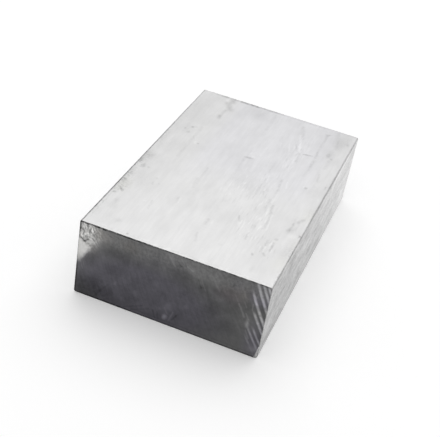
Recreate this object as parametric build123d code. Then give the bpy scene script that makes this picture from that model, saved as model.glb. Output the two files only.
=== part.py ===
from build123d import *
import os

# A block of aluminium flat bar: one solid piece, sawn to length from an extruded bar.
# The bar ran through the die along Y, so its four long edges have the die's small radius.
# Both ends were sawn square across the bar, and only the burr was taken off their edges.
# A sliver broke away at one lower corner of the near end, where the saw left the bar.
# The block lies on a wide face. The origin is at the middle of that face, with +Z up.
# All sizes are in millimetres.

# The bar's section
bar_width = 90.0
bar_thickness = 40.0
die_radius = 1.0

# The cut piece
cut_length = 150.0
deburr_leg = 0.3

# The broken corner, measured from the sharp corner along the three edges that meet there
break_height = 9.0
break_width = 2.0
break_depth = 1.0


def bar_section():
    """The bar's profile: a rectangle with the die's radius at its corners, resting on Z = 0."""
    with BuildSketch(Plane.XZ.offset(cut_length / 2)) as section:
        with Locations((0, bar_thickness / 2)):
            RectangleRounded(bar_width, bar_thickness, die_radius)
    return section.sketch


def sawn_length(section):
    """The profile carried over the cut length, from the near sawn end to the far one."""
    return extrude(section, amount=-cut_length)


def deburred(piece):
    """The piece with the burr filed off all round both sawn ends."""
    along_the_bar = piece.faces().sort_by(Axis.Y)
    near_end, far_end = along_the_bar[0], along_the_bar[-1]
    return chamfer(near_end.edges() + far_end.edges(), length=deburr_leg)


def with_broken_corner(piece):
    """The piece without the sliver at the lower right corner of its near end."""
    corner = Vector(bar_width / 2, -cut_length / 2, 0)
    up_the_end = corner + Vector(0, 0, break_height)
    across_the_end = corner - Vector(break_width, 0, 0)
    along_the_side = corner + Vector(0, break_depth, 0)
    outward = (across_the_end - up_the_end).cross(along_the_side - up_the_end)
    break_plane = Plane(origin=up_the_end, x_dir=across_the_end - up_the_end, z_dir=outward)
    return split(piece, bisect_by=break_plane, keep=Keep.BOTTOM)


aluminium_block = with_broken_corner(deburred(sawn_length(bar_section())))

os.makedirs("parts", exist_ok=True)
export_step(aluminium_block, "parts/aluminium_block.step")
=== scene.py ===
import math

import bpy
from mathutils import Matrix, Vector


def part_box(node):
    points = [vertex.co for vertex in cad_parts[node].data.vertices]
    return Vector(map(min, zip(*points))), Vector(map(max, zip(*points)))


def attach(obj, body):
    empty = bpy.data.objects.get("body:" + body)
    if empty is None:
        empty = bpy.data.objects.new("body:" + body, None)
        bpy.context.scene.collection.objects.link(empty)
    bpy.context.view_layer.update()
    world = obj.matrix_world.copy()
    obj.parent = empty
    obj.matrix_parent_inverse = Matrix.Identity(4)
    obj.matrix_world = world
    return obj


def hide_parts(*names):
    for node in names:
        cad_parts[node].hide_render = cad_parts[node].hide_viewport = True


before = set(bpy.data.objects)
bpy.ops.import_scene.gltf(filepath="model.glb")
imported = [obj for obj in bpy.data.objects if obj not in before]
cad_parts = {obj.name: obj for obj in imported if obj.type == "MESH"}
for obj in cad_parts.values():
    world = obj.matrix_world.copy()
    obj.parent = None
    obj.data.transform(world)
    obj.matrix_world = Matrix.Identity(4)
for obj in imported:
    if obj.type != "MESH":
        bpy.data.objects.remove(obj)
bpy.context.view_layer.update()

# A sawn block of aluminium flat bar on a pale floor.
# The block is one mesh, grown from a gridded box by Geometry Nodes: its long edges are rounded,
# its ends are deburred, one corner is broken, and both ends carry the saw's curved marks.
# Lengths are in metres, and MM turns millimetres into metres. The tables of marks, fades, noises and
# shakes, and the places given as pairs, are in millimetres. Tones and shares have no unit.

MM = 0.001
BLOCK = "aluminium_block"

block_low, block_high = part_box(BLOCK)
WIDTH, LENGTH, HEIGHT = block_high - block_low

# The bar's edges, as in the part
DIE_RADIUS = 1.0 * MM
DEBURR_LEG = 0.3 * MM
BREAK_HEIGHT = 9.0 * MM
BREAK_WIDTH = 2.0 * MM
BREAK_DEPTH = 1.0 * MM

# The mesh: grid steps across, along and up, and how deep the fine steps beside each edge reach
STEPS_ACROSS, STEPS_ALONG, STEPS_UP = 160, 144, 72
ACROSS_KNOTS = ((6, 1.2 * MM), (36, 11.2 * MM))
ALONG_KNOTS = ((4, 0.8 * MM),)
UP_KNOTS = ((6, 1.2 * MM),)

# How near to a face's plane counts as on it, and how squarely a sawn face must look along the bar
ON_FACE = 0.01 * MM
SAWN_FACING = 0.93
# The least that the sums divide by
LEAST_LENGTH = 1e-9
LEAST_SHARE = 1e-6

# How deep the relief is: the die's lines and the nicks on the bar, the ripple and waves on the ends
DIE_LINE_DEPTH = 0.03 * MM
NICK_DEPTH = 0.14 * MM
BLADE_RIPPLE_DEPTH = 0.012 * MM
END_WAVE_DEPTH = 0.06 * MM

# The saw blade as it passed the near end: where its shaft was, across and up
BLADE_ACROSS = 215.0 * MM
BLADE_UP = 114.0 * MM
# The marks that stand out: distance from the shaft, height where the mark begins, strength
SAW_MARKS = (
    (187.1, 42, 1), (189, 42, 0.9), (191.5, 42, 0.95), (194.85, 37, 1.15), (197.25, 26, 1),
    (200.4, 17.5, 0.7), (202.7, 17, 0.55), (205.4, 12.5, 0.35),
)
# A mark's plain middle, the height over which it begins, and how far it stands out
SAW_MARK_CORE = 0.1 * MM
SAW_MARK_FADE = 4.0 * MM
SAW_MARK_DEPTH = 0.07 * MM
# The blade's even ripple: from one to the next, and the far end's depth as a share of the marks'
SAW_PITCH = 2.65 * MM
FAR_RIPPLE_SHARE = 0.6

# The mill finish: its tone, how much its noises change that on the whole bar and on its sides,
# and the painted shade that darkens the sides towards the near end and brightens them towards the far one
MILL_TONE = 0.71
LINES_TONE, STREAKS_TONE, LUMPS_TONE, CLOUDS_TONE = 0.018, 0.018, 0.022, 0.03
SIDE_LUMPS_TONE, SIDE_STREAKS_TONE, SIDE_GRAIN_TONE = 0.11, 0.06, 0.16
SIDE_NEAR_PAINTED_SHADE, SIDE_FAR_PAINTED_LIGHT = -0.25, 0.09
# Its tint, its shaded relief's depth and each noise's share of it, and the darkest that an edge gets
MILL_RED = 0.002
MILL_BUMP = 0.02 * MM
LINES_BUMP, SCUFFS_BUMP, STREAKS_BUMP = 0.5, 0.3, 0.5
DARKEST_EDGE = -0.92
# Where the far rim of the top is darkest, to the left of the middle
FAR_RIM_DARKEST = 19 * MM

# The sawn finish: the upper band, the grain's shares of the tone below it and in it, the marks' painted
# highlight and the ripple
BAND_WANDER = 9 * MM
BAND_TONE = 0.045
DARK_GRAIN, LIGHT_GRAIN = (0.92, 0.80), (1.08, 1.20)
SAW_MARK_HIGHLIGHT, RIPPLE_TONE = 0.25, 0.006
# The radius at which the blade's sweep is measured, the shaded relief, and the darkest that a rim gets
SWEEP_RADIUS = 200 * MM
SAWN_BUMP, GRAIN_BUMP = 0.03 * MM, 0.6
DARKEST_RIM = -0.9
# Its tints: how red or yellow each is at its full amount, and how much of the violet the band hides
MOST_VIOLET, VIOLET_RED, BAND_HIDES = 0.15, 0.22, 0.8
BROWN_RED, BROWN_YELLOW = 0.5, 0.55
PATCH_RED, PATCH_YELLOW = 0.006, 0.018
# The foot of an end, painted dark as shade, on the left and on the right: its top, its full height, and
# how dark
FOOT_RIM_TOP, FOOT_RIM_FULL = (1.5 * MM, 1.2 * MM), (0.7 * MM, 0.6 * MM)
FOOT_RIM_TONES = (-0.62, -0.45)

# The bright patch is a rubbed corner whose brightness is a painted highlight.
# The near end's bright patch lies to the left of a line from x, z to x, z, and of PATCH_RIGHT
PATCH_TOP, PATCH_FOOT = (-37.0, 31.0), (-43.7, 18.2)
PATCH_RIGHT = -37.3 * MM
# How far its border wanders, and the tone of the veil beside it
PATCH_WANDER = 2.4 * MM
VEIL_TONE = 0.34
# The height that its feather leans out from, its calm part's slope, and the darkest that a fleck is
FEATHER_ROOT = 36 * MM
CALM_SLOPE = 0.6
DARKEST_FLECK = 0.85

# Areas of the near end: centre x, z, reach across and up, lean, and how much lighter (or darker)
END_SHADES = (
    (-36, 5, 16, 10, 0, -0.036), (-20, 5, 30, 8, 0, -0.006), (-27, 28.5, 7, 4, 8, -0.005),
    (-22, 26, 4, 5, 0, -0.012), (-30, 37, 12, 6, 0, 0.032), (-14, 36, 12, 6, 0, 0.01),
    (16, 17, 10, 9, 0, -0.006), (37, 18, 10, 9, 0, 0.04), (36, 7, 11, 8, 0, 0.034),
    (38, 2, 12, 5, 0, 0.018), (-40, 6, 9, 9, 0, -0.014), (24, 2, 26, 8, 0, 0.026),
    (-34, 27, 8, 9, 0, 0.028), (24, 28, 8, 7, 0, -0.03), (8, 20, 8, 5, 0, -0.01),
    (43.4, 5.5, 1.6, 2.8, 0, 0.05), (42, 5, 3.4, 3.6, 0, 0.032), (-33.5, 35, 5.5, 8, 0, 0.054),
    (0.5, 10, 4.5, 3.5, 20, 0.022), (1, 9, 5, 8, 15, 0.016), (0, 4.6, 1.7, 2.7, 0, 0.12),
    (-3, 8.2, 3.4, 2, 0, 0.024), (-15.6, 11.4, 2.8, 2.6, 0, 0.024), (-25.4, 12.8, 1.3, 2, 0, 0.034),
    (-21, 5.5, 1.8, 2.4, 0, 0.02), (-6.6, 21, 2, 2.4, 0, 0.014), (9, 14, 1.6, 1.7, 0, 0.022),
    (37.4, 17.2, 1.5, 3.4, 4, 0.13), (32, 31, 6, 8, 0, 0.014), (10, 35, 4, 3, 0, 0.008),
    (20.5, 33, 4, 5, 0, 0.016), (3, 35, 3.4, 1.3, -18, -0.035), (15, 28, 2, 4.2, -35, -0.02),
    (28.7, 35, 1.1, 2.6, -25, -0.045), (-43.6, 12, 1.6, 8, 0, 0.01),
)
# Streaks on the near end: from x, z to x, z, half width, and how much lighter (or darker)
END_STREAKS = (
    (2.2, 3.5, 3.6, 8.6, 0.7, 0.035), (3.6, 4.3, 5.4, 7.6, 0.7, -0.026), (-0.6, 9.6, 1, 6.8, 0.7, 0.03),
    (-5.8, 5.8, -4.6, 2, 0.7, -0.024), (-3.8, 6, -3, 2.2, 0.6, -0.02), (-20, 1.6, -11, 6.2, 0.6, -0.02),
    (-16.5, 1.4, -8, 5.6, 0.5, -0.016), (-34.5, 2, -28.5, 11, 0.9, -0.014),
    (-1.8, 37.6, 1.2, 33.6, 0.9, 0.05), (1.6, 37, 4, 34.6, 0.6, -0.03), (3.6, 38.2, 5, 36.6, 0.7, 0.045),
    (6.8, 35.6, 9.4, 34.4, 0.8, 0.05), (5.2, 37, 6.2, 35.4, 0.5, -0.04),
    (12.6, 31, 14.4, 27.2, 0.6, -0.022), (14, 31.4, 16.4, 26.6, 0.6, 0.026),
    (16.6, 29, 18.2, 24.4, 0.6, -0.014), (19.8, 33, 22.6, 29, 1, 0.03), (32.2, 26, 35.4, 20.2, 0.8, 0.06),
    (36, 22.4, 37.6, 19.6, 0.6, 0.05), (34.4, 28, 35.6, 25.6, 0.6, 0.035),
    (38.2, 28.4, 38.4, 25.4, 0.6, 0.05), (37.2, 13.4, 39.2, 9.4, 0.6, 0.045),
    (33.4, 33.4, 34.6, 30.6, 0.6, 0.025), (29.8, 30, 31.4, 27, 0.7, 0.022),
    (-44, 22, -41.6, 14.6, 0.6, 0.03), (-42.4, 20.6, -41, 16.6, 0.5, 0.022),
    (-31.2, 37.6, -28.6, 36.6, 0.4, -0.045), (-27.4, 38, -25.6, 37.2, 0.4, -0.03),
    (-25.6, 38.8, -17, 38.8, 0.4, 0.03),
)
# Uneven dark dashes where an end meets the top: x from and to, half width, and how dark
TOP_DASHES = (
    (-44.9, -44.3, 0.5, -0.5), (-42.2, -40.6, 0.5, -0.5), (-38, -37, 0.5, -0.45),
    (-36.4, -35.7, 0.5, -0.4), (-33.4, -32.6, 0.7, -0.75), (-30.5, -28.5, 0.4, -0.2),
    (-24, -20, 0.4, -0.2),
)
# The height at which they lie, in the table's millimetres
DASH_HEIGHT = 39.3
# Where the lighter area in the upper right begins: a soft border from x, z to x, z, and its wander
BORDER_START, BORDER_END = (0.7, 35.7), (19.3, 25.0)
BORDER_WANDER = 3 * MM
# Flecks in the bright patch: from x, z to x, z, half width, and how dark (or light, under zero)
PATCH_FLECKS = (
    (-44.4, 37.8, -44.1, 36.2, 0.9, 0.6), (-43.2, 35.9, -42.7, 35.4, 0.9, 0.5),
    (-43.6, 31, -42, 29.7, 1, 0.65), (-42, 29.7, -40.4, 31.3, 1, 0.65),
    (-36.6, 36.3, -35.2, 33.6, 0.7, 0.65), (-34.9, 33.8, -34.7, 33.3, 0.6, 0.5),
    (-37.7, 36.1, -36.9, 37.4, 0.6, 0.5), (-40.8, 38.6, -40, 34.8, 0.6, 0.35),
    (-33.7, 34.4, -33.2, 33.5, 0.8, 0.6), (-39.4, 36.4, -38.8, 33.6, 0.5, 0.4),
    (-42.2, 39, -41.9, 36.4, 0.5, 0.3), (-38.4, 32.8, -37.2, 31.4, 0.5, 0.35),
    (-41.7, 39, -41.7, 37.8, 0.6, -0.3), (-37.1, 34.4, -36.7, 33.3, 0.7, -0.3),
    (-38.8, 34.4, -39.1, 33.2, 0.6, -0.25), (-35.5, 35.4, -35.1, 34.2, 0.5, -0.4),
    (-40, 28.6, -39.3, 27.8, 0.7, -0.15), (-34.2, 37.6, -33.6, 36.8, 0.5, -0.3),
)

# The painted highlight streaked down the broken corner: from x, z to x, z, half width, and how much
# lighter
BROKEN_STREAK = (
    (44.7, 7, 44.2, 1.2, 0.5, 0.16),
)

# Where the near end is violet, and where it is brown: centre x, z, reach across and up, lean, amount
VIOLET = (
    (-11, 12, 50, 24, 0, 0.32), (42, 8, 8, 18, 0, 0.12), (41, 35, 9, 10, 0, 0.28),
    (-4, 35, 22, 8, 0, 0.07), (27, 29, 11, 8, 0, 0.095), (31, 36, 6, 6, 0, 0.12),
)
BROWN = (
    (28, 29, 11, 7, 0, 0.11), (34, 33, 6, 6, 0, 0.04), (-20, 35, 7, 5, 0, 0.05), (-33, 36, 7, 6, 0, 0.05),
    (-37, 26, 4, 5, 0, 0.03),
)

# The smudge near the top's far left corner: from x, y to x, y, half width, and how dark
SMUDGES = (
    (-26.2, 74, -26.4, 70, 3, -0.19), (-28, 67.4, -24.2, 61, 2.9, -0.15),
    (-26.2, 59, -26.8, 50, 1.5, -0.11), (-26.9, 51.4, -26.6, 49, 2.3, -0.09),
)
# Scratches and streaks on the top: from x, y to x, y, half width, and how much lighter (or darker)
TOP_SCRATCHES = (
    (15.6, 67, 19, 55, 1.9, -0.07), (17.2, 58, 21.5, 41, 1.1, 0.07),
    (-27.6, 18.4, -27.2, 16.4, 0.9, 0.06), (-0.4, 30, -0.6, -14, 1.2, -0.04),
    (23, -14, 23.2, -38, 1, -0.04), (24.2, -16, 24.3, -36, 0.9, 0.04), (30.2, 48, 30.4, 30, 1.3, -0.05),
    (19, 50, 19.1, 30, 1, -0.04), (20.4, 48, 20.6, 26, 1, 0.04), (38.2, -18, 38, -34, 1.2, -0.05),
    (41.8, -18.5, 38.2, -24.5, 1.4, -0.07), (-29.4, 71.4, -29.3, 70.2, 1.3, 0.06),
    (17.8, 47, 20.3, 40.5, 0.8, -0.08), (14.8, 45, 16.4, 38, 0.8, 0.06),
    (10.8, 43.5, 11.5, 39, 0.7, 0.06), (24.2, 39.6, 28.4, 40.7, 1.1, -0.16),
    (22.2, 39, 22.6, 30, 1.2, -0.08), (21.4, 36, 21.6, 20, 0.9, 0.05), (20.4, 30, 20.8, 22, 0.9, -0.06),
    (29.8, 67, 30.1, 40, 1.4, -0.08), (31, 37, 30.4, 19, 1.3, -0.07), (34.4, 72, 38, 55, 2, -0.05),
    (37.4, 41, 37.4, 32, 1.7, -0.06), (36.6, 25.5, 37.8, 18, 1, -0.07),
    (21.8, 9.5, 23.4, -1.5, 1.2, -0.1), (25, 8.5, 26.2, 3, 0.7, 0.05), (23.1, 0, 23.4, -8.5, 1.1, -0.09),
    (23.8, -5, 24, -13, 1, 0.06), (22.4, -11, 22.6, -21, 1, -0.09), (25.3, -15, 25.6, -20, 1, -0.11),
    (25, -18.5, 24.8, -26, 1.1, 0.05), (26.6, -20.5, 27.5, -36, 1, -0.09),
    (27.6, -23, 28.8, -36, 0.7, 0.05), (14.8, -3.5, 15, -10, 1.1, -0.09), (17.6, -6, 17.8, -8.5, 1, -0.1),
    (14.4, -32, 15.5, -36, 0.8, -0.12), (16.2, -37, 16.8, -39.5, 1.1, 0.05),
    (22.5, -42.5, 22.7, -48, 1, -0.1), (32.2, -43, 32.4, -47.5, 1.2, -0.11),
    (35, -43.5, 35.2, -50.5, 0.9, -0.12), (33.9, -44.5, 34, -49, 0.8, 0.05),
    (31.5, -49, 31.8, -53, 0.9, -0.1), (33.2, -53.5, 34.4, -55, 1.1, -0.1),
    (41.6, -17, 40.2, -22.5, 1.5, -0.07), (3.2, -42.5, 3.4, -47, 1.2, -0.08),
    (5.3, -42.5, 5.5, -45, 0.9, 0.05), (2.6, -55, 4.2, -61.5, 1, -0.07), (3.6, -54.5, 5, -60, 0.7, 0.04),
    (-30.3, -24.5, -30.1, -30.5, 1.2, -0.08), (-24.6, -43.5, -23.5, -50, 1.1, -0.07),
    (-14, -13.5, -13.8, -19, 1.4, -0.05), (-15.2, -33.5, -14.6, -38.5, 0.9, -0.06),
    (-14.2, -33.5, -13.6, -38, 0.7, 0.05), (-29.8, 22.5, -27.4, 16, 0.9, 0.06),
    (-30.4, 23, -28.6, 19, 0.7, -0.09), (-34.3, 31.3, -32.4, 32.6, 0.8, -0.13),
    (-30.2, 34, -30, 0, 1.4, -0.05), (-0.8, 71, -0.8, 52, 1.6, -0.06), (5.6, 34, 6.2, 8, 1.6, 0.04),
    (14.2, 26, 14.2, 12, 1.2, -0.05), (-13.2, -2, -12.6, -22, 1.2, -0.06),
    (-42.9, -47, -42.5, -70, 0.6, -0.06), (38.7, -23.5, 38.2, -30.5, 1, -0.06),
    (41, -24, 40.6, -29, 0.9, -0.05),
)
# Stains on the top: centre x, y, reach across and along, lean, and how much lighter (or darker)
TOP_STAINS = (
    (-9, 64.5, 6.5, 10, 0, -0.035), (-8, 66.5, 2.6, 4.5, -10, -0.05), (-38, 50, 9, 28, 0, -0.04),
    (40, 10, 8, 14, 0, -0.05), (-41, -15.5, 2.8, 5, 0, -0.08), (39, -28, 2.6, 4.2, -15, -0.06),
    (-37, -28, 8, 13, 0, -0.05), (-37.5, 9, 8, 13, 0, -0.05), (-37, -66, 9, 10, 0, -0.045),
    (-6, -28, 9, 12, 0, 0.045), (6, -46, 9, 12, 0, 0.045), (16, -28, 8, 12, 0, 0.035),
    (-16, -65, 9, 11, 0, 0.035), (2.6, 22, 1.8, 1.6, 0, 0.06), (-0.8, 15.8, 1.6, 2.6, 0, -0.05),
    (-37, 28, 6, 8, 0, -0.05), (-37.1, 27.9, 1.3, 1.6, 0, -0.13), (0.8, 24, 1.5, 3.6, 0, 0.07),
    (31, 68, 1.8, 1, 35, -0.09), (38.5, 64, 6.5, 14, -8, -0.1), (41.8, 63.3, 1.2, 2.4, 0, -0.13),
    (38, 43.4, 1.3, 1.3, 0, -0.2), (36.6, 48, 3.6, 7, 0, -0.08), (33.2, 9.6, 1, 1.3, 0, 0.08),
    (43, 14.6, 1.1, 2.8, 0, -0.15), (-42.5, -7.5, 5.5, 7, 0, -0.17), (-37.5, -18, 1.3, 1.3, 0, -0.17),
    (-43.4, -14, 1.7, 4.2, 0, -0.3), (-43, -26, 5, 8.5, 0, -0.12), (-42.5, -38.5, 6, 10.5, 0, -0.16),
    (-42.8, -34, 1.6, 2.2, 0, -0.22), (-40.4, -42.4, 1.1, 2.8, 42, -0.32),
    (-42.3, -46.2, 1.2, 1.2, 0, -0.28), (-38.4, -52, 2, 4.6, 0, -0.12), (-37.8, -57, 3.8, 3.8, 0, -0.05),
    (-30.8, -65.9, 2.8, 2.6, 0, -0.09), (-23.2, -72.8, 0.9, 0.9, 0, -0.2), (-31, -35, 11, 9, 0, -0.03),
    (-27.6, -28.5, 1, 1, 0, -0.11), (-27.3, -45.3, 0.9, 1, 0, 0.09), (35.4, -40.4, 1.5, 1.6, 0, -0.14),
    (40.5, -34.2, 3.2, 3.4, 0, 0.06), (43.7, -32.3, 0.9, 1.8, 0, -0.3), (32.6, -67, 1.6, 3.6, 0, -0.07),
    (14.9, -58, 1.3, 2.4, 0, -0.06), (43, -45, 5, 13, 0, -0.09), (-43, 20, 4.5, 60, 0, -0.05),
    (-43.3, -31, 2.2, 9, 0, -0.09), (-43.5, 15, 2.4, 12, 0, -0.08), (-43, -64, 3.5, 12, 0, -0.04),
    (22, -66, 20, 12, 0, 0.02), (44, -10, 4, 12, 0, -0.04),
)
# Pits in the top: centre x, y, reach across and along, lean, how much darker, and depth
TOP_PITS = (
    (-34.4, 31.2, 1.1, 1.2, 0, -0.19, 0.08), (-34.6, 25.3, 1.6, 2, 0, -0.15, 0.08),
    (-25.9, 17.1, 1, 1.2, 0, -0.18, 0.08), (1, 19.6, 3.6, 1.5, 5, -0.22, 0.1),
    (29.6, 67.1, 2.1, 2.3, 0, -0.1, 0.06), (35.8, 46.2, 1.7, 3.6, 0, -0.15, 0.08),
    (34.5, 8.9, 1.2, 1.6, 0, -0.24, 0.12), (38.3, -30, 2.3, 3.2, -15, -0.12, 0.1),
    (-40.6, -18, 1.9, 3.2, 0, -0.2, 0.1), (29.3, -56.8, 1, 1.8, 15, -0.18, 0.06),
    (35.1, -46.8, 0.9, 3.2, 0, -0.05, 0.1), (26.3, 40.1, 2.6, 1, 20, -0.05, 0.1),
)
# Areas of dense short scuffs on the top: centre x, y, reach across and along, lean, amount
SCUFFED = (
    (21, -28, 13, 32, 0, 1), (14, 0, 13, 30, 0, 0.9), (20, 36, 9, 32, 0, 0.9), (35, -48, 8, 15, 0, 0.9),
    (4, -10, 10, 36, 0, 0.7), (24, -44, 13, 15, 0, 0.8),
)
# Grime beside the top's left and right edges: centre y, reach along, reach in from the edge, amount
LEFT_GRIME = (
    (-39, 13, 8.5, 1), (-16, 8, 7, 1), (-27, 9, 6.5, 0.9), (-59, 18, 5, 0.8), (25, 55, 3, 0.35),
)
RIGHT_GRIME = (
    (-45, 13, 5, 0.8), (-12, 10, 4, 0.6), (-32, 5, 3, 0.9), (-66, 12, 3, 0.6), (20, 14, 3, 0.35),
)
# Where the top is a little yellow: centre x, y, reach across and along, lean, amount
YELLOWED = (
    (-41.5, -38, 6, 11, 0, 0.022), (42, -57, 6, 11, 0, 0.016), (43, -14, 5, 12, 0, 0.016),
    (44, -40, 4, 9, 0, 0.012),
)

# The lighter strips under the top edge are a painted highlight, and the darker areas along the foot are
# painted shade
# Areas of the right-hand side: centre y, z, reach along and up, lean, and how much lighter (or darker)
SIDE_SHADES = (
    (62, 5, 20, 11, 0, 0.06), (-50, 28, 24, 16, 0, -0.03), (44, 37.8, 30, 1.5, 0, 0.24),
    (0, 9, 18, 8, 0, -0.05), (46, 9, 12, 8, 0, 0.05), (18, 33, 20, 8, 0, 0.05),
    (-27, 33, 10, 6, 0, -0.05), (4, 36.6, 16, 3, 0, 0.1), (33, 36, 20, 3.6, 0, 0.13),
    (-42, 25, 10, 7, 0, -0.11), (-57, 20, 8, 6, 0, -0.06), (-4, 15, 7, 4, -12, -0.3),
    (-18, 7.5, 14, 4, 0, -0.21), (14, 8, 16, 4.6, 0, -0.22), (-54, 5.5, 26, 3.6, 0, -0.12),
    (44, 30, 6, 3, 0, -0.07), (71, 32, 6, 4, -20, -0.12), (61, 10, 8, 5, 0, 0.07),
    (33, 5.5, 9, 3, 0, -0.12), (-62, 26, 16, 14, 0, -0.05), (66, 30, 14, 12, 0, -0.03),
    (-30, 33, 10, 4, 0, 0.05), (-12, 26, 8, 4, 0, 0.05), (25, 24, 22, 8, 0, 0.04),
    (-66, 30, 8, 5, 0, 0.04),
)

# Fades along a coordinate or a distance: from and to, and the values there where they aren't 0 and 1
FADES = {
    "off the ends": (0.3, 2),
    "off the long edges": (1, 2.5),
    "at a long edge": (1.2, 0.4),
    "inside an end's rim": (0.3, 1.1, 0.25, 1),
    "on the broken plane": (-0.06, -0.02),
    "saw mark's half width": (10, 22, 0.7875 * MM, 1.05 * MM),
    "saw marks' foot": (5.5, 8.5, 0.4, 1),
    "saw marks' left border": (35.5, 38.5),
    "top rim": (38.6, 39.3),
    "left rim": (-43.6, -44.5),
    "left rim's tone, near part": (-30, 10, -0.64, -0.42),
    "left rim's tone, far part": (20, 70, 0, 0.25),
    "outermost left": (-44.2, -44.6),
    "outermost left's tone": (-40, 10, -0.3, -0.15),
    "right rim": (44.2, 44.8),
    "right rim's tone": (-60, 0, 0.06, -0.1),
    "far rim": (72, 73.8),
    "far rim's tone": (0, 26, -0.31, -0.08),
    "far rim's left border": (-41, -37),
    "near rim": (-71.4, -73),
    "near rim's strength": (-44, -32, 0.3, 1),
    "filed edge": (-74.7, -74.78),
    "filed edge's tone": (43.5, 44.6, -0.88, -0.35),
    "outermost sides": (43.9, 44.5),
    "lower rim": (1.1, 0.5),
    "side's unevenness": (-40, 40, 0.9, 0.8),
    "cool area's left border": (-28, -17),
    "cool area's blue": (40, 32, 0.003, 0.019),
    "cool area's near border": (-22, 12),
    "upper band": (32, 41),
    "past the border": (-0.8, 2),
    "far past the border": (2, 13, 1, 0.2),
    "lighter area's tone": (33, 22, 0, 0.026),
    "into the patch": (-1.5, 1.1),
    "patch's foot": (16, 20),
    "veil's upper part": (30.5, 33.5),
    "veil beside the patch": (-4.5, 0),
    "veil above": (-4.2, -2.4),
    "veil's strength": (21, 31, 0.08, 0.85),
    "feather's lean": (-41, -37, 0, 0.55),
    "calm part": (32.2, 29.6),
    "calm tone": (18, 25, 0.4, 0.65),
    "under the top": (39, 39.5),
    "under the top, left part": (-20, 4, -0.6, -0.15),
    "under the top, right part": (10, 18, 0, -0.05),
    "foot's right part": (-20, -14),
    "light line's foot": (1.1, 1.6),
    "light line's tone": (2, 1.6, 0, 0.1),
    "dark line's foot": (1.9, 2.3),
    "dark line's tone": (2.8, 2.3, 0, -0.1),
    "end's left rim": (-43.9, -44.5),
    "end's left rim, high": (33, 36, 0, -0.7),
    "end's left rim, low": (19, 15, -0.12, -0.75),
    "end's right rim's tone": (44.3, 44.7, 0, -0.15),
}
# Noises: length of a feature and detail, then any roughness, stretch and shift across, along and up
NOISES = {
    "die grooves": (2.4, 2, 0.6, (1, 60, 1), (2, 2, 2)),
    "edge nicks": (2.6, 3, 0.6, (1, 1, 1), (1, 4, 8)),
    "end waves": (9, 3),
    "torn metal": (0.9, 2, 0.5, (1, 1, 1), (3, 3, 1)),
    "die lines": (0.9, 2, 0.6, (1, 22, 1)),
    "mill streaks": (2.2, 3, 0.6, (1, 6, 1), (9, 2, 4)),
    "mill lumps": (4.5, 3, 0.6, (1, 1.8, 1), (2, 7, 5)),
    "mill clouds": (14, 3, 0.5, (1, 1.7, 1), (3, 5, 7)),
    "scuffs": (0.95, 2, 0.55, (1, 7, 1), (5, 5, 1)),
    "scratch gaps": (1.1, 2, 0.6, (1, 2.2, 1), (1, 6, 2)),
    "stain blotches": (1, 3, 0.6, (1, 1, 1), (7, 3, 2)),
    "grime specks": (0.9, 3, 0.65, (1, 1.3, 1), (4, 9, 2)),
    "edge unevenness": (2.2, 3, 0.65, (1, 1, 1), (8, 3, 5)),
    "far rim patches": (4, 2, 0.6, (1, 1, 1), (1, 9, 5)),
    "near rim flecks": (1.2, 2, 0.6, (1.6, 1, 1), (2, 6, 8)),
    "side lumps": (5, 5, 0.62, (1, 2.4, 1), (2, 8, 3)),
    "side grain": (0.7, 2, 0.6, (1, 2.6, 1), (6, 1, 7)),
    "sawn clouds": (7, 5, 0.6, (1, 1, 1), (1, 2, 3)),
    "sawn grain": (1.5, 3, 0.6, (1, 1, 1), (6, 2, 9)),
    "blade sweep": (0.8, 2, 0.6, (1, 9, 1)),
    "saw mark strength": (2.2, 3, 0.6, (1, 1, 1), (7, 7, 2)),
    "border's wander": (3, 2, 0.5, (1, 1, 1), (8, 8, 1)),
    "patch's wander": (2.2, 3, 0.6),
    "patch's feather": (1.1, 3, 0.65, (0.8, 1, 1.7), (4, 4, 4)),
    "end's rim unevenness": (2.4, 3, 0.65, (1, 1, 1), (5, 2, 2)),
}
# What a noise, which runs from 0 to 1, is turned into: from and to which level, and the values there
LEVELS = {
    "torn metal": (0.3, 0.7, 0.23, 0.39),
    "how lined": (0.35, 0.65, 0.25, 1),
    "mill roughness": (0.25, 0.75, 0.46, 0.56),
    "dark scuffs": (0.28, 0.44, -0.11, 0),
    "light scuffs": (0.56, 0.72, 0, 0.11),
    "scratch gaps": (0.36, 0.62, 0.5, 1.25),
    "stain blotches": (0.33, 0.64, 0.5, 1.25),
    "calmer": (0.5, 1.25, 0.8, 1.15),
    "dark grime": (0.36, 0.48, -0.3, 0),
    "light grime": (0.55, 0.68, 0, 0.08),
    "edge unevenness": (0.3, 0.66, 0.4, 1.2),
    "far rim patches": (0.38, 0.62, 0.35, 1.5),
    "near rim flecks": (0.4, 0.65, -0.02, 0.05),
    "lower rim's rubbing": (0.4, 1.2, -0.25, 0.15),
    "sawn tone with painted shade": (0.25, 0.75, 0.081, 0.12),
    "sawn roughness": (0.25, 0.75, 0.44, 0.56),
    "blade sweep": (0.3, 0.7, 0.94, 1.06),
    "saw mark strength": (0.35, 0.62, 0.65, 1.1),
    "ripple's strength": (0.4, 0.6, 0.2, 1),
    "mottled tone": (0.36, 0.64, 0.26, 0.78),
    "calm mottling": (0.3, 0.7, 0.95, 1.05),
    "veil's mottling": (0.36, 0.64, 0.75, 1.25),
    "end's rim unevenness": (0.3, 0.66, 0.5, 1.25),
}
# How far what is drawn on a face wanders: length of a wave, how far, and the noise's shift
SHAKES = {
    "scratches": (3.5, 0.55, (6, 1, 2)),
    "stains": (1.6, 0.8, (3, 8, 2)),
    "side shades": (3, 1.2, (1, 1, 6)),
    "end shades": (2.5, 0.9, (2, 4, 1)),
    "end streaks": (2, 0.3, (0, 0, 0)),
    "patch flecks": (1.2, 0.4, (0, 0, 0)),
}

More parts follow.
